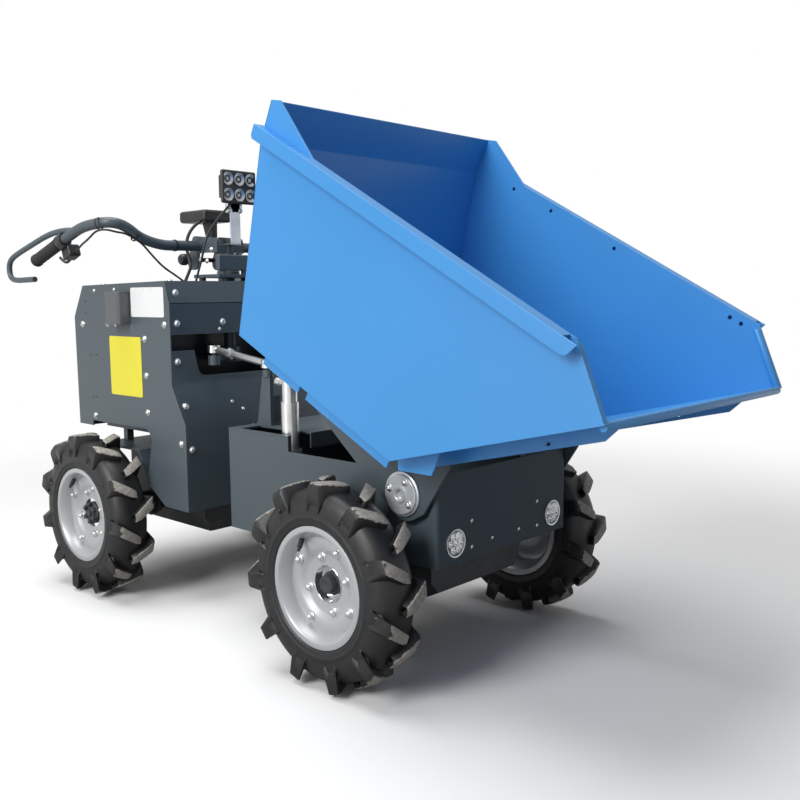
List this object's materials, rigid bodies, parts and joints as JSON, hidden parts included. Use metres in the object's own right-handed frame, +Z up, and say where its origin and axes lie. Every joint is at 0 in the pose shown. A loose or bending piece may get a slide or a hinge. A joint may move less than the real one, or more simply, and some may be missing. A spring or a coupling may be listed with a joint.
{
  "type": "articulated walk-behind site dumper",
  "caption": "Walk-behind articulated site dumper with a tipping bucket, handlebar steering and farm-tread tyres.",
  "frame": {"origin": "on the ground, under the centre of the machine's box, with the bucket partly tipped", "axes": "+X forward towards the bucket's lip, +Y to the machine's left, +Z up"},
  "size_m": [1.8855, 0.747, 1.15],
  "materials": {
    "body_grey": "slate grey powder coat",
    "casing_black": "dark satin paint",
    "bucket_blue": "light blue satin paint",
    "zinc": "bright zinc plate",
    "tyre_rubber": "black farm-tread rubber, dusty on the bars",
    "rim_silver": "silver paint",
    "grip_rubber": "matt black rubber",
    "black_plastic": "matt black",
    "plain_grey_plastic": "grey paint",
    "lamp_clear": "clear lamp front over a silvered bowl"
  },
  "bodies": {
    "rear": {"rear_side_right": "body_grey", "rear_side_left": "body_grey", "rear_back_panel": "body_grey", "rear_top_cover": "body_grey", "rear_front_upper": "body_grey", "rear_front_lower": "body_grey", "rear_floor": "body_grey", "battery_pack": "black_plastic", "battery_tray": "body_grey", "rear_gearbox": "casing_black", "rear_axle": "casing_black", "pivot_clevis": "body_grey", "column_head": "body_grey", "service_box": "plain_grey_plastic"},
    "front": {"front_chassis": "body_grey", "front_deck": "body_grey", "front_bumper": "body_grey", "bumper_lamps": "lamp_clear", "front_gearbox": "casing_black", "front_axle": "casing_black", "pivot_tongue": "body_grey", "tip_pivots": "zinc", "cylinder_cradle": "body_grey"},
    "bucket": {"bucket_shell": "bucket_blue", "bucket_rims": "bucket_blue", "bucket_underframe": "bucket_blue", "tip_arms": "body_grey"},
    "cylinder_barrel": {"cylinder_barrel": "zinc"},
    "cylinder_sleeve": {"cylinder_sleeve": "zinc"},
    "cylinder_ram": {"cylinder_ram": "zinc"},
    "steering": {"steering_column": "body_grey", "clamp_knob": "black_plastic", "handlebar": "body_grey", "handle_grips": "grip_rubber", "control_blocks": "black_plastic", "console": "black_plastic", "work_lamp": "black_plastic"},
    "tie_rod": {"tie_rod": "zinc"},
    "wheel_front_right": {"tyre_front_right": "tyre_rubber", "rim_front_right": "rim_silver"},
    "wheel_front_left": {"tyre_front_left": "tyre_rubber", "rim_front_left": "rim_silver"},
    "wheel_rear_right": {"tyre_rear_right": "tyre_rubber", "rim_rear_right": "rim_silver"},
    "wheel_rear_left": {"tyre_rear_left": "tyre_rubber", "rim_rear_left": "rim_silver"}
  },
  "joints": [
    {"name": "articulation", "type": "hinge", "parent": "rear", "child": "front", "pos_m": [-0.20122, 0, 0.345], "axis": [0, 0, 1], "range_deg": [-25, 25]},
    {"name": "steering", "type": "hinge", "parent": "rear", "child": "steering", "pos_m": [-0.41423, 0, 0.7], "axis": [0, 0, 1], "range_deg": [-25, 25]},
    {"name": "tie_rod_swing", "type": "hinge", "parent": "steering", "child": "tie_rod", "pos_m": [-0.30423, -0.134, 0.64], "axis": [0, 0, 1], "range_deg": [-25, 25]},
    {"name": "bucket_tip", "type": "hinge", "parent": "front", "child": "bucket", "pos_m": [0.43378, 0, 0.39], "axis": [0, 1, 0], "range_deg": [-27.5, 25]},
    {"name": "barrel_swing", "type": "hinge", "parent": "front", "child": "cylinder_barrel", "pos_m": [0.03778, -0.178, 0.165], "axis": [0, 1, 0], "range_deg": [-16.3, 14.82]},
    {"name": "sleeve_slide", "type": "slide", "parent": "cylinder_barrel", "child": "cylinder_sleeve", "axis": [0, 0, 1], "range_m": [-0.106, 0.09638]},
    {"name": "ram_slide", "type": "slide", "parent": "cylinder_sleeve", "child": "cylinder_ram", "axis": [0, 0, 1], "range_m": [-0.08333, 0.07577]},
    {"name": "spin_front_right", "type": "hinge", "parent": "front", "child": "wheel_front_right", "pos_m": [0.32377, -0.3215, 0.21], "axis": [0, 1, 0], "continuous": true},
    {"name": "spin_front_left", "type": "hinge", "parent": "front", "child": "wheel_front_left", "pos_m": [0.32377, 0.3215, 0.21], "axis": [0, 1, 0], "continuous": true},
    {"name": "spin_rear_right", "type": "hinge", "parent": "rear", "child": "wheel_rear_right", "pos_m": [-0.58822, -0.3215, 0.21], "axis": [0, 1, 0], "continuous": true},
    {"name": "spin_rear_left", "type": "hinge", "parent": "rear", "child": "wheel_rear_left", "pos_m": [-0.58822, 0.3215, 0.21], "axis": [0, 1, 0], "continuous": true}
  ],
  "couplings": [
    {"joint": "steering", "follows": "articulation", "ratio": 1},
    {"joint": "tie_rod_swing", "follows": "articulation", "ratio": -1},
    {"joint": "barrel_swing", "follows": "bucket_tip", "ratio": 0.589},
    {"joint": "sleeve_slide", "follows": "bucket_tip", "m_per_rad": 0.22043},
    {"joint": "ram_slide", "follows": "bucket_tip", "m_per_rad": 0.17319}
  ]
}
